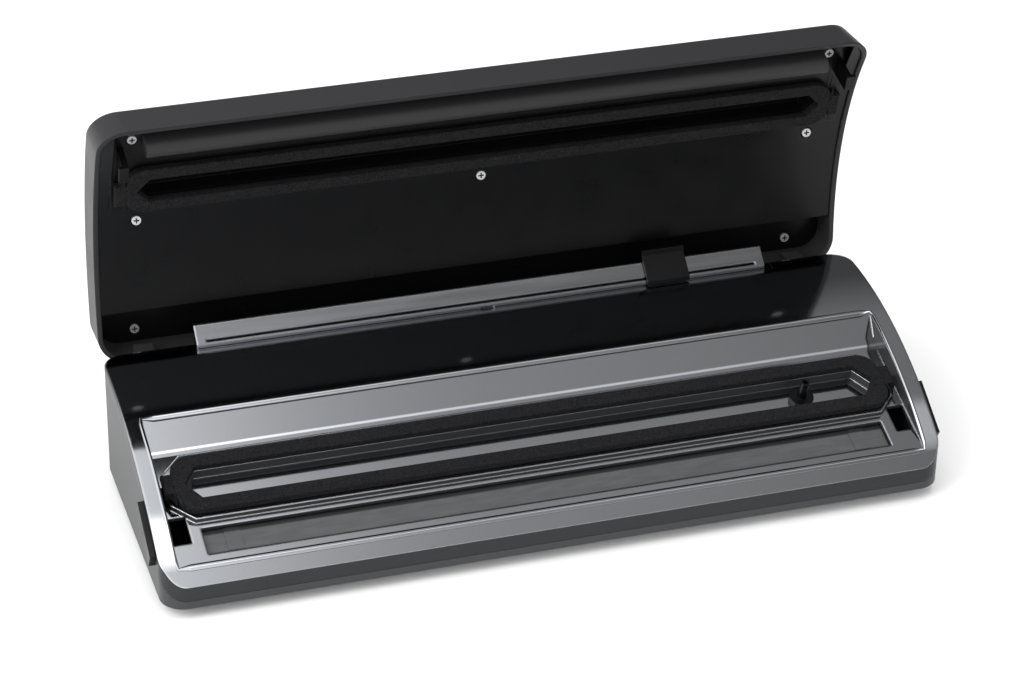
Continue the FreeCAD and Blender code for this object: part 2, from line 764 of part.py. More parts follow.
def front_rod(radius, low, high, x, v):
    return tipped(rod("z", radius, "(%s) - (%s)" % (high, low), x, v, low))


def key_x(index):
    return "key_pitch * (%g)" % (index - 1.5)


def key_block(index, grow, low, high):
    wide = about(key_x(index), "key_long + 2 * (%s)" % grow)
    return box(*wide, *about("control_y", "key_deep + 2 * (%s)" % grow), low, high)


def lens_rods(radius):
    y = "control_y + key_deep / 2 + lens_from_key"
    return [rod("z", radius, "60", "key_pitch * (%g)" % step, y, "board_top + 4.4") for step in (-1, 0, 1)]


def lid_plan(inset):
    return rounded("-lid_half + (%s)" % inset, "lid_half - (%s)" % inset, "lid_front_y + (%s)" % inset,
                   "lid_rear_y - (%s)" % inset, "0", HIGH, "corner_radius + 2 - (%s)" % inset)


def lid_knuckle(side):
    x0, x1 = span(side, "knuckle_x + knuckle_long + play", "knuckle_x + 2 * knuckle_long + play")
    web = box(x0, x1, "hinge_y - knuckle_radius", "hinge_y + knuckle_radius", "hinge_z", "hinge_z + web_high")
    return fuse(web, rod("x", "knuckle_radius", "knuckle_long", x0, "hinge_y", "hinge_z"))


def lid_bore(side):
    return pin_bore(side, "knuckle_x - 1", "knuckle_x + 2 * knuckle_long + 2")


def lid_cover():
    top = common(lid_plan("0"), arc_rod("lid_thick"))
    hollow = common(lid_plan("skin"), arc_rod("lid_thick - skin"))
    shell = cut(top, arc_rod("lid_gap"), hollow)
    seat = PANEL_W + " + panel_thick"
    roof = "cutter_room_z + panel_thick"
    bosses = [front_rod("boss_radius", seat, "60", x, v) for x, v in FRONT_SCREWS]
    bosses += [cut(rod("z", "boss_radius", "60", x, y, "crown_z - 16"), arc_rod("panel_gap + panel_thick"))
               for x, y in BEND_SCREWS]
    bosses += [rod("z", "boss_radius", "lid_thick", x, y, roof) for x, y in ROOF_SCREWS]
    posts = common(common(fuse(*bosses), arc_rod("lid_thick - 1")), lid_plan("skin / 2"))
    bores = [front_rod("screw_shank + pin_play", "0", seat + " + screw_long", x, v) for x, v in FRONT_SCREWS]
    bores += [rod("z", "screw_shank + pin_play", "screw_long + 10", x, y, "crown_z - 11")
              for x, y in BEND_SCREWS]
    bores += [rod("z", "screw_shank + pin_play", "short_screw", x, y, roof + " - panel_thick / 2")
              for x, y in ROOF_SCREWS]
    windows = [key_block(index, "play", "crown_z + 4", HIGH) for index in range(len(KEYS))]
    body = fuse(shell, posts, both(lid_knuckle))
    node("lid_cover", cut(body, both(lid_bore), *bores, *windows, *lens_rods("lens_radius")), True)


def lid_inner_panel():
    plan = lid_plan("skin + panel_play")
    wide = ("-half_length", "half_length")
    inside = ("-trough_half + hole_end", "trough_half - hole_end")
    outer = arc_rod("panel_gap + panel_thick")
    riser_back = "riser_y + panel_thick"
    bend_back = "cutter_room_y + panel_thick"
    bend = cut(common(box(*wide, "riser_y", bend_back, "0", HIGH), outer), arc_rod("panel_gap"))
    flat = tipped(box(*inside, "-floor_run * 1.3", "0", PANEL_W, PANEL_W + " + panel_thick"))
    edges = []
    for side in (1, -1):
        x0, x1 = span(side, "trough_half - panel_thick", "half_length")
        edges.append(box(x0, x1, "front_y", riser_back, "0", HIGH))
    sides = cut(common(fuse(*edges), outer), arc_rod("panel_gap"))
    below = tipped(box(*wide, "-floor_run * 1.3", "floor_run", "-floor_run", PANEL_W))
    riser = cut(common(box(*inside, "riser_y", riser_back, "0", HIGH), outer), below)
    step = cut(box(*wide, "cutter_room_y", bend_back, "0", "cutter_room_z"), arc_rod("panel_gap"))
    roof = box(*wide, "cutter_room_y", "lid_rear_y", "cutter_room_z", "cutter_room_z + panel_thick")
    front_trim = box(*wide, "front_y", "riser_y", "0", HIGH)
    plate = common(fuse(bend, common(flat, front_trim), sides, riser, step, roof), plan)
    chamber = tipped(prism(hexagon(*LID_CHAMBER), "60"))
    holes = []
    for x, v in FRONT_SCREWS:
        holes.append(front_rod("screw_shank + pin_play", "0", "40", x, v))
        holes.append(front_rod("counterbore", "0", PANEL_W + " + panel_thick / 2", x, v))
    for x, y in BEND_SCREWS:
        holes.append(rod("z", "screw_shank + pin_play", "40", x, y, "crown_z - 16"))
        sink = rod("z", "counterbore", "40", x, y, "crown_z - 16")
        holes.append(common(sink, arc_rod("panel_gap + panel_thick / 2")))
    for x, y in ROOF_SCREWS:
        holes.append(rod("z", "screw_shank + pin_play", "20", x, y, "crown_z"))
        holes.append(rod("z", "counterbore", "roof_high + panel_thick / 2", x, y, "crown_z"))
    knuckles = box(*about("0", "2 * lid_half - 2 * end_wall"), "hinge_y - knuckle_radius - 1", "lid_rear_y + 1",
                   "0", "cutter_room_z - 3")
    node("lid_inner_panel", cut(plate, chamber, knuckles, *holes), True)


def lid_fittings():
    low = PANEL_W + " + panel_thick"
    cup = prism(hexagon(*LID_CHAMBER, "lid_chamber_wall"), "lid_chamber_deep", start=low)
    pocket = prism(hexagon(*LID_CHAMBER), "lid_chamber_deep - lid_chamber_wall / 2", start=low)
    node("lid_chamber", tipped(cut(cup, pocket)), True)
    gasket("lid_gasket", "lid_gasket_back", "lid_gasket_front", LID_CHAMBER,
           "plateau_height + gasket_thick + seal_gap", True)
    middle = "-(slot_back + slot_front) / 2"
    low = "bar_proud + tape_thick + clip_thick + seal_gap"
    crown = rod("x", "press_wide / 2", "2 * slot_half", "-slot_half", middle, low + " + press_wide / 2")
    stem = box("-slot_half", "slot_half", middle + " - press_wide / 2", middle + " + press_wide / 2",
               low + " + press_wide / 2", PANEL_W)
    node("pressure_bar", tipped(fuse(crown, stem)), True)
    hooks = []
    for side in (1, -1):
        x0, x1 = span(side, "hole_in + hook_play", "hole_in + hook_play + hook_thick")
        f0, f1 = span(side, "hole_in + hook_play", "hole_in + hook_play + hook_foot")
        shank = box(x0, x1, "-hole_front + 4", "-hole_back - 4", "-hook_reach", PANEL_W)
        foot = box(f0, f1, "-hole_front + 4", "-hole_back - 4", "-hook_reach", "-hook_reach + 2")
        hooks.append(fuse(shank, foot))
    node("latch_hooks", tipped(fuse(*hooks)), True)
    screws = []
    seat = PANEL_W + " + panel_thick / 2"
    for x, v in FRONT_SCREWS:
        screws.append(fuse(front_rod("screw_head", seat + " - screw_head_high", seat, x, v),
                           front_rod("screw_shank", seat, seat + " + screw_long", x, v)))
    for x, y in ROOF_SCREWS:
        seat = "cutter_room_z + panel_thick / 2"
        screws.append(fuse(rod("z", "screw_head", "screw_head_high", x, y, seat + " - screw_head_high"),
                           rod("z", "screw_shank", "short_screw", x, y, seat)))
    for x, y in BEND_SCREWS:
        seat = "arc_z + sqrt((top_radius + panel_gap + panel_thick / 2) ^ 2 - (%s - arc_y) ^ 2)" % y
        seat += " - screw_head * (arc_y - (%s)) / top_radius" % y
        screws.append(fuse(rod("z", "screw_head", "screw_head_high", x, y, seat + " - screw_head_high"),
                           rod("z", "screw_shank", "screw_long", x, y, seat)))
    node("lid_screws", fuse(*screws), True)


def controls():
    outer = arc_rod("lid_thick + control_thick")
    blank = box(*about("0", "control_long"), *about("control_y", "control_deep"), "0", HIGH)
    plate = cut(common(blank, outer), arc_rod("lid_thick"))
    windows = [key_block(index, "play", "crown_z + 4", HIGH) for index in range(len(KEYS))]
    node("control_panel", cut(plate, *windows, *lens_rods("lens_radius")), True)
    node("indicator_lenses", common(fuse(*lens_rods("lens_radius")), outer), True)
    node("control_board", box(*about("0", "control_long + 8"), "control_y - 15", "control_y + 19",
                              "board_top - board_thick", "board_top"), True)
    studs = []
    for x in about("0", "control_long - 4"):
        for y in ("control_y - 8", "control_y + 13"):
            studs.append(cut(rod("z", "stud_radius", "20", x, y, "board_top - board_thick - 20"),
                             arc_rod("panel_gap + panel_thick")))
    node("control_posts", fuse(*studs), True)
    for index, name in enumerate(KEYS):
        cap = common(key_block(index, "0", "board_top + 4.4", HIGH), arc_rod("lid_thick + key_proud"))
        lip = cut(common(key_block(index, "1.4", "crown_z + 4", HIGH), arc_rod("lid_thick - skin - play")),
                  arc_rod("lid_thick - skin - play - 1.2"))
        stem = rod("z", "key_stem / 2", "8", key_x(index), "control_y", "board_top + key_proud")
        node(name, fuse(cap, lip, stem), True)


lower_housing()
upper_housing()
vacuum_tray()
gasket("base_gasket", "gasket_back", "gasket_front", CHAMBER, "plateau_height")
nozzle()
seal_bar()
cutter()
node("release_button_right", release_button(1))
node("release_button_left", release_button(-1))
fittings()
internals()
lid_cover()
lid_inner_panel()
lid_fittings()
controls()

doc.recompute()
for item in doc.Objects:
    if "Invalid" in item.State or "Error" in item.State:
        raise RuntimeError("failed object: %s %s" % (item.Name, item.State))
os.makedirs("parts", exist_ok=True)
for name, item in nodes:
    shape = item.Shape
    if shape.isNull() or not shape.isValid():
        raise RuntimeError("bad shape: " + name)
    print("%-22s solids %d volume %.0f" % (name, len(shape.Solids), shape.Volume))
    shape.exportStep("parts/%s.step" % name)
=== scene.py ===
import json
import math

import bmesh
import bpy
from mathutils import Matrix, Vector


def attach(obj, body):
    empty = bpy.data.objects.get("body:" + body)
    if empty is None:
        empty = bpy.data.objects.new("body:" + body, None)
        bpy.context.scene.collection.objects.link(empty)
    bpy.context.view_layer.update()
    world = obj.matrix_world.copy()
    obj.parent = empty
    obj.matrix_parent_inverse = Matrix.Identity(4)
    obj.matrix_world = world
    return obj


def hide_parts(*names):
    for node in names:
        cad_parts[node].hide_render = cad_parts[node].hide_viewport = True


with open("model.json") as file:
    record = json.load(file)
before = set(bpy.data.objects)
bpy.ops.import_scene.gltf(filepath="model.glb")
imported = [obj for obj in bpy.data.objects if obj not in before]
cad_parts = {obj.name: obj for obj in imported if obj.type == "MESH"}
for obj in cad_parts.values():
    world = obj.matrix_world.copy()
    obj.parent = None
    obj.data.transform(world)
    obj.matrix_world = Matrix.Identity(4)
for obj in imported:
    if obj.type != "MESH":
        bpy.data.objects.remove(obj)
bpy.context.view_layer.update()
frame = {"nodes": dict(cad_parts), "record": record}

# Sizes shared with the construction, in metres and degrees
TOP_RADIUS = 0.19501
TOP_CREST = 0.066
ARC_Y = 0.037
ARC_Z = TOP_CREST - TOP_RADIUS
FLOOR_BACK = (-0.013, 0.0472)
FLOOR_FRONT_Y = -0.082
WALL_TOP = (-0.00384, 0.06168)
TROUGH_HALF = 0.1915
HINGE = Vector((0, 0.056, 0.0585))
OPEN_ANGLE = 94
PLATEAU = 0.0025
GASKET_THICK = 0.004
GASKET_HALF = 0.184
SEAL_GAP = 0.0003
CHAMBER_HALF = 0.1715
CHAMBER_TIP = 0.178
TAB_HALF = 0.189
TAB_BACK = 0.0197
TAB_FRONT = 0.0327
PANEL_GAP = 0.0015
PANEL_THICK = 0.002
PANEL_ROOF = 0.082
SCREW_HEAD = 0.0024
SCREW_HEAD_HIGH = 0.0014
BEND_Y = -0.021
FRONT_SCREWS = ((-0.180, -0.0583), (0.180, -0.0583))
ROOF_SCREWS = ((-0.177, 0.050), (0.177, 0.050))
BEND_SCREWS = ((-0.177, BEND_Y), (0, BEND_Y), (0.177, BEND_Y))

# Sizes of the pieces made here
EDGE_RADIUS = 0.0025
EDGE_END_RADIUS = 0.0011
EDGE_TAPER = 0.006
EDGE_PROUD = 0.00045
EDGE_STEPS = 24
EDGE_ROUND_STEPS = 5
COVE_RADIUS = 0.010
COVE_STEPS = 10
COVE_SUNK = 0.0005
SHARP_ANGLE = 50
FLAT_ROUND_STEPS = 3
FOAM_CORNER = 0.010
FOAM_CORNER_STEPS = 10
FOAM_BEVEL = 0.0008
CROSS_ARM = 0.0014
CROSS_HALF = 0.00032
CROSS_THICK = 0.0003
CROSS_BEVEL = 0.00005
CROSS_SUNK = 0.0002


def top_height(y):
    return ARC_Z + math.sqrt(TOP_RADIUS ** 2 - (y - ARC_Y) ** 2)


# Places of the trough's floor, the open lid and its inner panel
TOP_AT_FRONT = top_height(FLOOR_FRONT_Y)
FLOOR_TILT = math.atan2(FLOOR_BACK[1] - TOP_AT_FRONT, FLOOR_BACK[0] - FLOOR_FRONT_Y)
FLOOR = Matrix.Translation((0, *FLOOR_BACK)) @ Matrix.Rotation(FLOOR_TILT, 4, "X")
SWING = Matrix.Rotation(math.radians(-OPEN_ANGLE), 4, "X")
OPEN = Matrix.Translation(HINGE) @ SWING @ Matrix.Translation(-HINGE)
LID_FOAM_LOW = PLATEAU + GASKET_THICK + SEAL_GAP
PANEL_LOW = PLATEAU + 2 * GASKET_THICK + SEAL_GAP


# Materials

# Places of the colour sockets on a mix node
COLOUR_A = 6
COLOUR_B = 7
COLOUR_OUT = 2

# Stops of a two-colour ramp, and the spread of a plain colour
RAMP_DARK = 0.35
RAMP_LIGHT = 0.65
DARKER = 0.85
LIGHTER = 1.15

COAT_ROUGH = 0.05
BEVEL_SAMPLES = 6

# Painted shade along the tape's two edges, where the walls of its slot shade it, from front to back
TAPE_SLOT_SHADE = ((0.0, 0.0), (0.09, 0.0), (0.13, 1.0), (0.80, 1.0), (0.84, 0.0))


def grey_ramp(tree, value, stops):
    """Grey that changes along a value by the given stops."""
    ramp = tree.nodes.new("ShaderNodeValToRGB")
    points = ramp.color_ramp.elements
    while len(points) < len(stops):
        points.new(0.5)
    for point, (spot, shade) in zip(points, stops):
        point.position = spot
        point.color = (shade, shade, shade, 1)
    tree.links.new(value, ramp.inputs["Fac"])
    return ramp.outputs["Color"]


class Shader:
    """Node material with a principled shader, and short calls for its detail."""

    def __init__(self, name, colour, rough, metallic=0.0, coat=0.0, specular=0.5):
        self.material = bpy.data.materials.new(name)
        self.material.use_nodes = True
        self.tree = self.material.node_tree
        self.face = self.tree.nodes["Principled BSDF"]
        self.face.inputs["Base Color"].default_value = (*colour, 1)
        self.face.inputs["Roughness"].default_value = rough
        self.face.inputs["Metallic"].default_value = metallic
        self.face.inputs["Coat Weight"].default_value = coat
        self.face.inputs["Coat Roughness"].default_value = COAT_ROUGH
        self.face.inputs["Specular IOR Level"].default_value = specular
        self.place = self.add("ShaderNodeTexCoord").outputs["Object"]
        self.normal = None

    def add(self, kind):
        return self.tree.nodes.new(kind)

    def link(self, a, b):
        self.tree.links.new(a, b)

    def noise(self, scale, detail=3.0, stretch=(1, 1, 1)):
        mapping = self.add("ShaderNodeMapping")
        mapping.inputs["Scale"].default_value = stretch
        self.link(self.place, mapping.inputs["Vector"])
        node = self.add("ShaderNodeTexNoise")
        node.inputs["Scale"].default_value = scale
        node.inputs["Detail"].default_value = detail
        self.link(mapping.outputs["Vector"], node.inputs["Vector"])
        return node.outputs["Fac"]

    def checks(self, scale):
        node = self.add("ShaderNodeTexChecker")
        node.inputs["Scale"].default_value = scale
        self.link(self.place, node.inputs["Vector"])
        return node.outputs["Fac"]

    def upward(self, low, high):
        """Factor that grows as a face turns to look up."""
        axes = self.add("ShaderNodeSeparateXYZ")
        self.link(self.add("ShaderNodeNewGeometry").outputs["Normal"], axes.inputs["Vector"])
        node = self.add("ShaderNodeMapRange")
        node.interpolation_type = "SMOOTHSTEP"
        node.inputs["From Min"].default_value = low
        node.inputs["From Max"].default_value = high
        self.link(axes.outputs["Z"], node.inputs["Value"])
        return node.outputs["Result"]

    def across(self, stops):
        """Factor that changes from a piece's front to its back by the given stops."""
        axes = self.add("ShaderNodeSeparateXYZ")
        self.link(self.add("ShaderNodeTexCoord").outputs["Generated"], axes.inputs["Vector"])
        return grey_ramp(self.tree, axes.outputs["Y"], stops)

    def blend(self, factor, first, second, socket):
        mix = self.add("ShaderNodeMix")
        mix.data_type = "RGBA"
        self.link(factor, mix.inputs["Factor"])
        self.link(first, mix.inputs[COLOUR_A])
        self.link(second, mix.inputs[COLOUR_B])
        self.link(mix.outputs[COLOUR_OUT], self.face.inputs[socket])

    def vary(self, factor, socket, low, high, start=0.3, end=0.7):
        node = self.add("ShaderNodeMapRange")
        node.inputs["From Min"].default_value = start
        node.inputs["From Max"].default_value = end
        node.inputs["To Min"].default_value = low
        node.inputs["To Max"].default_value = high
        self.link(factor, node.inputs["Value"])
        self.link(node.outputs["Result"], self.face.inputs[socket])

    def ramp(self, factor, dark, light):
        ramp = self.add("ShaderNodeValToRGB")
        ramp.color_ramp.elements[0].position = RAMP_DARK
        ramp.color_ramp.elements[1].position = RAMP_LIGHT
        ramp.color_ramp.elements[0].color = (*dark, 1)
        ramp.color_ramp.elements[1].color = (*light, 1)
        self.link(factor, ramp.inputs["Fac"])
        return ramp.outputs["Color"]

    def mottle(self, factor, dark, light):
        self.link(self.ramp(factor, dark, light), self.face.inputs["Base Color"])

    def round_edges(self, radius):
        bevel = self.add("ShaderNodeBevel")
        bevel.samples = BEVEL_SAMPLES
        bevel.inputs["Radius"].default_value = radius
        self.normal = bevel.outputs["Normal"]
        self.link(self.normal, self.face.inputs["Normal"])

    def bump(self, factor, strength, distance):
        node = self.add("ShaderNodeBump")
        node.inputs["Strength"].default_value = strength
        node.inputs["Distance"].default_value = distance
        self.link(factor, node.inputs["Height"])
        if self.normal is not None:
            self.link(self.normal, node.inputs["Normal"])
        self.link(node.outputs["Normal"], self.face.inputs["Normal"])


def gloss_with_painted_shade(name, edge=0.0):
    """Bright metal gloss on faces that look up; upright faces get a dark, rougher, non-metal copy of it,
    painted shade standing in for their dark reflections.
    """
    look = Shader(name, (0.50, 0.515, 0.54), rough=0.1, specular=0.1)
    if edge:
        look.round_edges(edge)
    # Mask of the painted shade: bright metal where faces look up, the dark copy where they stand upright
    upward = look.upward(low=0.2, high=0.45)
    fleck = look.noise(scale=2400, detail=2)
    bright = look.ramp(fleck, (0.485, 0.5, 0.525), (0.515, 0.53, 0.556))
    # Painted shade: dark colour of the copy on upright faces
    dark = look.ramp(fleck, (0.028, 0.029, 0.031), (0.033, 0.034, 0.036))
    look.blend(upward, dark, bright, "Base Color")
    look.link(upward, look.face.inputs["Metallic"])
    look.vary(upward, "Roughness", low=0.3, high=0.1, start=0.0, end=1.0)
    return look.material


def satin_housing():
    look = Shader("satin_grey", (0.045, 0.046, 0.048), rough=0.38, specular=0.18)
    look.round_edges(radius=0.0009)
    look.mottle(look.noise(scale=1800, detail=2), (0.042, 0.043, 0.045), (0.049, 0.05, 0.052))
    look.bump(look.noise(scale=1500), strength=0.05, distance=0.0002)
    return look.material


def lid_gloss():
    look = Shader("dark_gloss", (0.028, 0.028, 0.0295), rough=0.36, specular=0.09)
    look.round_edges(radius=0.0014)
    look.vary(look.noise(scale=40, detail=4), "Roughness", low=0.33, high=0.4)
    return look.material


def moulded_black(name, colour, rough, grain):
    look = Shader(name, colour, rough, specular=0.2)
    look.round_edges(radius=0.0006)
    look.vary(look.noise(scale=60, detail=4), "Roughness", low=rough - 0.04, high=rough + 0.05)
    look.bump(look.noise(scale=grain), strength=0.08, distance=0.0002)
    return look.material


def foam_black():
    look = Shader("black_foam", (0.010, 0.010, 0.011), rough=0.95, specular=0.1)
    cells = look.noise(scale=1500, detail=4)
    look.mottle(cells, (0.004, 0.004, 0.0045), (0.018, 0.018, 0.019))
    look.bump(cells, strength=0.6, distance=0.0004)
    return look.material


def woven_tape():
    look = Shader("woven_tape", (0.02, 0.02, 0.021), rough=0.42, coat=0.1)
    streaks = look.noise(scale=400, detail=4, stretch=(0.2, 1, 1))
    weave = look.ramp(streaks, (0.055, 0.056, 0.058), (0.07, 0.071, 0.073))
    # Painted shade: near-black bands at the tape's edges, under the walls of its slot
    slot_shade = look.ramp(look.noise(scale=900, detail=2), (0.004, 0.004, 0.0042), (0.006, 0.006, 0.0063))
    look.blend(look.across(TAPE_SLOT_SHADE), slot_shade, weave, "Base Color")
    look.bump(look.checks(scale=1400), strength=0.18, distance=0.0001)
    return look.material


def metal(name, colour, rough, stretch=(1, 1, 1), metallic=1.0, edge=0.0004):
    look = Shader(name, colour, rough, metallic=metallic)
    look.round_edges(edge)
    look.vary(look.noise(scale=300, stretch=stretch), "Roughness", low=rough - 0.04, high=rough + 0.06)
    return look.material


def plain_inner(name, colour, rough, metallic=0.0):
    look = Shader(name, colour, rough, metallic=metallic)
    dark = [DARKER * part for part in colour]
    light = [LIGHTER * part for part in colour]
    look.mottle(look.noise(scale=500), dark, light)
    return look.material


LOOKS = {
    "housing_gloss": gloss_with_painted_shade("gunmetal_gloss_painted_shade", edge=0.0015),
    "housing_satin": satin_housing(),
    "lid_gloss": lid_gloss(),
    "black_satin": moulded_black("black_satin", (0.0025, 0.0025, 0.0028), rough=0.3, grain=1600),
    "foam": foam_black(),
    "rubber": moulded_black("black_rubber", (0.024, 0.024, 0.025), rough=0.5, grain=900),
    "tape": woven_tape(),
    "chrome": metal("bright_rail", (0.30, 0.31, 0.325), rough=0.12, stretch=(0.05, 1, 1), edge=0.0014),
    "steel": metal("zinc_steel", (0.5, 0.5, 0.5), rough=0.3, metallic=0.5),
    "board": plain_inner("circuit_board", (0.02, 0.12, 0.05), rough=0.5),
    "motor": plain_inner("plain_metal", (0.3, 0.3, 0.31), rough=0.4, metallic=0.8),
    "lens": plain_inner("clear_lens", (0.25, 0.5, 0.32), rough=0.15),
}
# The same finish without edge rounding, with the same painted shade on upright faces
ROUNDED_GLOSS = gloss_with_painted_shade("gunmetal_rounded_painted_shade")
slots = {entry["node"]: entry["material_slot"] for entry in frame["record"]["subparts"]}
for name, item in frame["nodes"].items():
    item.data.materials.clear()
    item.data.materials.append(LOOKS[slots[name]])


# Pieces made here

def piece_from_mesh(name, mesh, place, body, slot, look=None):
    item = bpy.data.objects.new(name, mesh)
    bpy.context.scene.collection.objects.link(item)
    mesh.transform(place)
    mesh.materials.clear()
    mesh.materials.append(look or LOOKS[slot])
    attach(item, body)
    return item


def mesh_of_curve(curve):
    maker = bpy.data.objects.new("curve_maker", curve)
    bpy.context.scene.collection.objects.link(maker)
    bpy.context.view_layer.update()
    graph = bpy.context.evaluated_depsgraph_get()
    mesh = bpy.data.meshes.new_from_object(maker.evaluated_get(graph))
    bpy.data.objects.remove(maker)
    bpy.data.curves.remove(curve)
    return mesh


def smooth_mesh(mesh):
    mesh.shade_smooth()
    mesh.set_sharp_from_angle(angle=math.radians(SHARP_ANGLE))


def flat_piece(name, outlines, thick, bevel):
    """Mesh of flat stock with holes, its edges rounded, standing on its local floor."""
    curve = bpy.data.curves.new(name + "_outline", "CURVE")
    curve.dimensions = "2D"
    curve.fill_mode = "BOTH"
    curve.extrude = thick / 2 - bevel
    curve.bevel_depth = bevel
    curve.bevel_resolution = FLAT_ROUND_STEPS
    curve.offset = -bevel
    for outline in outlines:
        spline = curve.splines.new("POLY")
        spline.points.add(len(outline) - 1)
        for point, (x, y) in zip(spline.points, outline):
            point.co = (x, y, 0, 1)
        spline.use_cyclic_u = True
    mesh = mesh_of_curve(curve)
    mesh.transform(Matrix.Translation((0, 0, thick / 2)))
    for face in mesh.polygons:
        face.use_smooth = False
    return mesh


def arc_normal(y):
    return Vector((0, y - ARC_Y, top_height(y) - ARC_Z)).normalized()


def bead(radius, point, first, second):
    """Centre and radius of a bead on an edge, a little proud of the two faces with these normals."""
    between = (first + second) / 2
    place = Vector(point) - (radius - EDGE_PROUD) / between.length_squared * between
    return place, radius


def edge_path():
    """Closed path along the trough's upper edge, with the bead's radius at each point."""
    back_y = WALL_TOP[0]
    steps = [back_y + (FLOOR_FRONT_Y - back_y) * step / EDGE_STEPS for step in range(EDGE_STEPS + 1)]
    wall = Vector((0, FLOOR_BACK[1] - WALL_TOP[1], WALL_TOP[0] - FLOOR_BACK[0])).normalized()
    floor = Vector((0, -math.sin(FLOOR_TILT), math.cos(FLOOR_TILT)))
    inward = Vector((-1, 0, 0))
    run = TROUGH_HALF - EDGE_TAPER
    along = [(-TROUGH_HALF, EDGE_END_RADIUS), (-run, EDGE_RADIUS),
             (run, EDGE_RADIUS), (TROUGH_HALF, EDGE_END_RADIUS)]
    back = [bead(radius, (x, *WALL_TOP), wall, arc_normal(back_y)) for x, radius in along]
    right = [bead(EDGE_END_RADIUS, (TROUGH_HALF, y, top_height(y)), inward, arc_normal(y)) for y in steps]
    front = [bead(radius, (x, FLOOR_FRONT_Y, TOP_AT_FRONT), floor, arc_normal(FLOOR_FRONT_Y))
             for x, radius in reversed(along)]
    left = [(Vector((-place.x, place.y, place.z)), radius) for place, radius in reversed(right)]
    return back + right[1:-1] + front + left[1:-1]


def trough_edge():
    """Rounded bead along the trough's upper edge, slimmer at the ends."""
    path = edge_path()
    curve = bpy.data.curves.new("trough_edge_path", "CURVE")
    curve.dimensions = "3D"
    curve.bevel_depth = EDGE_RADIUS
    curve.bevel_resolution = EDGE_ROUND_STEPS
    spline = curve.splines.new("POLY")
    spline.points.add(len(path) - 1)
    for point, (place, radius) in zip(spline.points, path):
        point.co = (*place, 1)
        point.radius = radius / EDGE_RADIUS
    spline.use_cyclic_u = True
    mesh = mesh_of_curve(curve)
    smooth_mesh(mesh)
    piece_from_mesh("trough_edge", mesh, Matrix.Identity(4), "base", "housing_gloss", ROUNDED_GLOSS)


def cove_section():
    """Outline of the hollow round, from the corner it fills to its curved face."""
    corner = Vector((0, *FLOOR_BACK))
    up = (Vector((0, *WALL_TOP)) - corner).normalized()
    out = Vector((0, -math.cos(FLOOR_TILT), -math.sin(FLOOR_TILT)))
    half = up.angle(out) / 2
    middle = (up + out).normalized()
    centre = corner + middle * COVE_RADIUS / math.sin(half)
    sweep = math.pi - 2 * half
    section = [corner - COVE_SUNK * middle]
    for step in range(COVE_STEPS + 1):
        turn = Matrix.Rotation(sweep * (step / COVE_STEPS - 0.5), 3, "X")
        section.append(centre - COVE_RADIUS * (turn @ middle))
    return section


def trough_cove():
    """Hollow round where the trough's wall meets its floor."""
    section = cove_section()
    shape = bmesh.new()
    rows = []
    for x in (-TROUGH_HALF, TROUGH_HALF):
        rows.append([shape.verts.new((x, point.y, point.z)) for point in section])
    for row in rows:
        shape.faces.new(row)
    count = len(section)
    for index in range(count):
        after = (index + 1) % count
        shape.faces.new((rows[0][index], rows[0][after], rows[1][after], rows[1][index]))
    bmesh.ops.recalc_face_normals(shape, faces=shape.faces)
    mesh = bpy.data.meshes.new("trough_cove")
    shape.to_mesh(mesh)
    shape.free()
    smooth_mesh(mesh)
    piece_from_mesh("trough_cove", mesh, Matrix.Identity(4), "base", "housing_gloss", ROUNDED_GLOSS)


def gasket_outline(back, front):
    """Ring's outer outline with rounded corners and a tab at each end."""
    turns = [math.radians(90 * step / FOAM_CORNER_STEPS) for step in range(FOAM_CORNER_STEPS + 1)]
    corner = FOAM_CORNER
    side = GASKET_HALF - corner
    lower = [(side + corner * math.sin(turn), -front + corner - corner * math.cos(turn)) for turn in turns]
    tab = [(GASKET_HALF, -TAB_FRONT), (TAB_HALF, -TAB_FRONT), (TAB_HALF, -TAB_BACK), (GASKET_HALF, -TAB_BACK)]
    upper = [(side + corner * math.cos(turn), -back - corner + corner * math.sin(turn)) for turn in turns]
    right = lower + tab + upper
    left = [(-x, y) for x, y in reversed(right)]
    return right + left


def chamber_outline(back, front):
    middle = -(back + front) / 2
    return [(CHAMBER_HALF, -front), (CHAMBER_TIP, middle), (CHAMBER_HALF, -back),
            (-CHAMBER_HALF, -back), (-CHAMBER_TIP, middle), (-CHAMBER_HALF, -front)]


def gasket(name, outer, inner, low, place, body, node):
    outlines = [gasket_outline(*outer), chamber_outline(*inner)]
    mesh = flat_piece(name, outlines, GASKET_THICK, FOAM_BEVEL)
    item = piece_from_mesh(name, mesh, place @ Matrix.Translation((0, 0, low)), body, "foam")
    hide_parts(node)


def cross_recess_shade(name, place, body):
    """Dark cross in a screw's head: a black sheet as painted shade, standing in for the shade inside the
    cross recess.
    """
    arm = CROSS_ARM
    half = CROSS_HALF
    outline = [(half, arm), (half, half), (arm, half), (arm, -half), (half, -half), (half, -arm),
               (-half, -arm), (-half, -half), (-arm, -half), (-arm, half), (-half, half), (-half, arm)]
    mesh = flat_piece(name, [outline], CROSS_THICK, CROSS_BEVEL)
    piece_from_mesh(name, mesh, place, body, "black_satin")


def bend_seat():
    """Height at which the screws in the panel's curved part sit."""
    middle_radius = TOP_RADIUS + PANEL_GAP + PANEL_THICK / 2
    middle = ARC_Z + math.sqrt(middle_radius ** 2 - (BEND_Y - ARC_Y) ** 2)
    return middle - SCREW_HEAD * (ARC_Y - BEND_Y) / TOP_RADIUS


def screw_crosses(group, place, spots, seat):
    low = seat - SCREW_HEAD_HIGH - CROSS_SUNK
    for number, (x, y) in enumerate(spots):
        cross_recess_shade("%s_screw_cross_%d" % (group, number), place @ Matrix.Translation((x, y, low)), "lid")


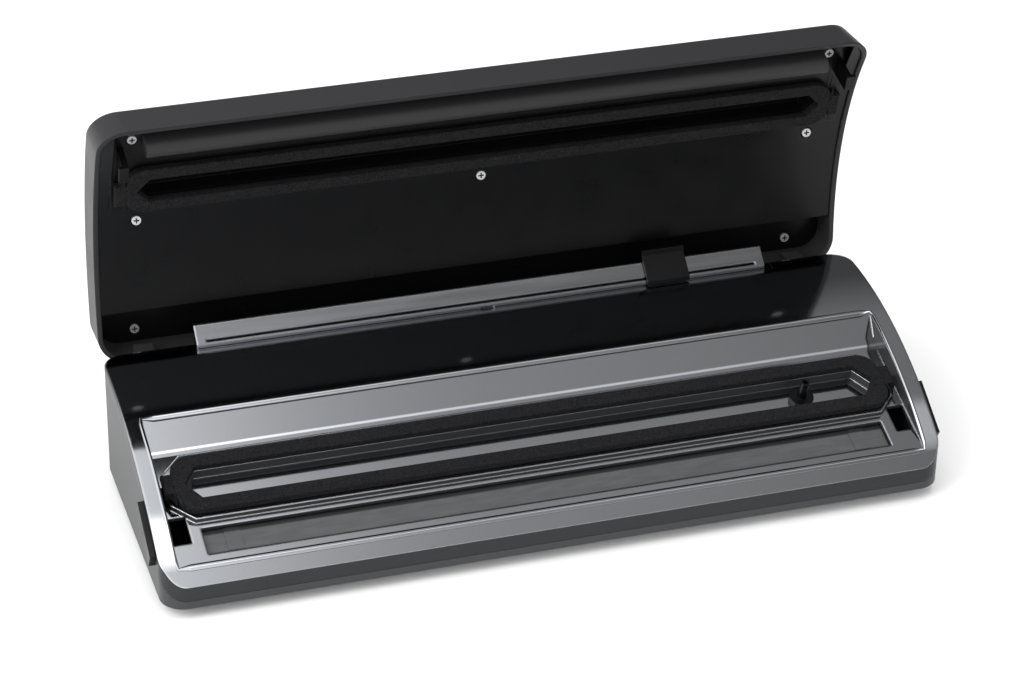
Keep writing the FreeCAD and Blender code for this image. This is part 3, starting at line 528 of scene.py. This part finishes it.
trough_edge()
trough_cove()
gasket("base_foam", outer=(0.010, 0.044), inner=(0.0172, 0.0365), low=PLATEAU,
       place=FLOOR, body="base", node="base_gasket")
gasket("lid_foam", outer=(0.0142, 0.041), inner=(0.0207, 0.0345), low=LID_FOAM_LOW,
       place=OPEN @ FLOOR, body="lid", node="lid_gasket")
screw_crosses("front", OPEN @ FLOOR, FRONT_SCREWS, PANEL_LOW + PANEL_THICK / 2)
screw_crosses("roof", OPEN, ROOF_SCREWS, PANEL_ROOF + PANEL_THICK / 2)
screw_crosses("bend", OPEN, BEND_SCREWS, bend_seat())


# Stage, light and camera

STAGE_SIZE = 6

# Brightness of the room for plain light, and for reflections from left to right
ROOM_LIGHT = 0.85
SIDE_FADE = ((0.12, 1.5), (0.16, 0.95), (0.20, 0.58), (0.24, 0.41), (0.32, 0.33), (0.42, 0.2))

# Overhead strip that draws the bright lines on rounded edges, by direction from front to back
STRIP_FADE = ((0.0, 1.0), (0.33, 1.0), (0.36, 2.8), (0.45, 2.8), (0.48, 1.0), (0.74, 1.0), (0.87, 0.3))

FOCAL_PIXELS = 3237.8
FRAME_WIDTH = 1024
SENSOR = 36
AZIMUTH = math.radians(-18.10)
ELEVATION = math.radians(30.80)
ROLL = math.radians(1.20)
CAMERA_AT = Vector((-0.4336, -1.3219, 0.9017))


def plain_floor():
    mesh = bpy.data.meshes.new("floor")
    shape = bmesh.new()
    bmesh.ops.create_grid(shape, x_segments=1, y_segments=1, size=STAGE_SIZE)
    shape.to_mesh(mesh)
    shape.free()
    item = bpy.data.objects.new("floor", mesh)
    bpy.context.scene.collection.objects.link(item)
    look = Shader("pale_floor", (0.93, 0.93, 0.93), rough=0.6, specular=0.2)
    look.mottle(look.noise(scale=3, detail=2), (0.925, 0.925, 0.925), (0.935, 0.935, 0.935))
    mesh.materials.append(look.material)


def softbox(name, place, aim, wide, tall, power):
    light = bpy.data.lights.new(name, "AREA")
    light.shape = "RECTANGLE"
    light.size = wide
    light.size_y = tall
    light.energy = power
    item = bpy.data.objects.new(name, light)
    item.location = place
    item.rotation_euler = (Vector(aim) - Vector(place)).to_track_quat("-Z", "Y").to_euler()
    item.visible_glossy = False
    bpy.context.scene.collection.objects.link(item)


def times(tree, first, second):
    node = tree.nodes.new("ShaderNodeMath")
    node.operation = "MULTIPLY"
    tree.links.new(first, node.inputs[0])
    if isinstance(second, float):
        node.inputs[1].default_value = second
    else:
        tree.links.new(second, node.inputs[1])
    return node.outputs["Value"]


def fade_ramp(tree, value, stops):
    """Brightness that changes along a value by the given stops."""
    peak = max(shade for spot, shade in stops)
    shares = [(spot, shade / peak) for spot, shade in stops]
    return times(tree, grey_ramp(tree, value, shares), peak)


def studio_world():
    """Even pale room, white to the camera; reflections see it bright at the left and dark at the right."""
    world = bpy.data.worlds.new("studio")
    world.use_nodes = True
    bpy.context.scene.world = world
    tree = world.node_tree
    back = tree.nodes["Background"]
    back.inputs["Color"].default_value = (1, 1, 1, 1)
    path = tree.nodes.new("ShaderNodeLightPath")
    place = tree.nodes.new("ShaderNodeTexCoord")
    axes = tree.nodes.new("ShaderNodeSeparateXYZ")
    tree.links.new(place.outputs["Generated"], axes.inputs["Vector"])
    depth = tree.nodes.new("ShaderNodeMapRange")
    depth.inputs["From Min"].default_value = -1
    tree.links.new(axes.outputs["Y"], depth.inputs["Value"])
    sideways = fade_ramp(tree, axes.outputs["X"], SIDE_FADE)
    strip = fade_ramp(tree, depth.outputs["Result"], STRIP_FADE)
    glossy = tree.nodes.new("ShaderNodeMix")
    glossy.inputs["A"].default_value = ROOM_LIGHT
    tree.links.new(path.outputs["Is Glossy Ray"], glossy.inputs["Factor"])
    tree.links.new(times(tree, sideways, strip), glossy.inputs["B"])
    seen = tree.nodes.new("ShaderNodeMix")
    seen.inputs["B"].default_value = 1.0
    tree.links.new(path.outputs["Is Camera Ray"], seen.inputs["Factor"])
    tree.links.new(glossy.outputs["Result"], seen.inputs["A"])
    tree.links.new(seen.outputs["Result"], back.inputs["Strength"])


def photo_camera():
    data = bpy.data.cameras.new("photo_camera")
    data.sensor_width = SENSOR
    data.lens = FOCAL_PIXELS / FRAME_WIDTH * SENSOR
    item = bpy.data.objects.new("photo_camera", data)
    bpy.context.scene.collection.objects.link(item)
    flat = math.cos(ELEVATION)
    back = Vector((math.sin(AZIMUTH) * flat, -math.cos(AZIMUTH) * flat, math.sin(ELEVATION)))
    level = Vector((math.cos(AZIMUTH), math.sin(AZIMUTH), 0))
    upright = back.cross(level)
    right = math.cos(ROLL) * level + math.sin(ROLL) * upright
    up = back.cross(right)
    turn = Matrix((right, up, back)).transposed().to_4x4()
    item.matrix_world = Matrix.Translation(CAMERA_AT) @ turn
    bpy.context.scene.camera = item


plain_floor()
softbox("left_box", place=(-1.1, -0.35, 0.9), aim=(0, -0.02, 0.05), wide=0.9, tall=1.2, power=14)
softbox("top_box", place=(0.1, 0.2, 1.7), aim=(0, 0, 0), wide=1.6, tall=1.2, power=10)
softbox("front_box", place=(0.3, -1.8, 0.9), aim=(0, 0, 0.05), wide=1.6, tall=0.8, power=9)
studio_world()
photo_camera()
bpy.context.scene.view_settings.view_transform = "Standard"
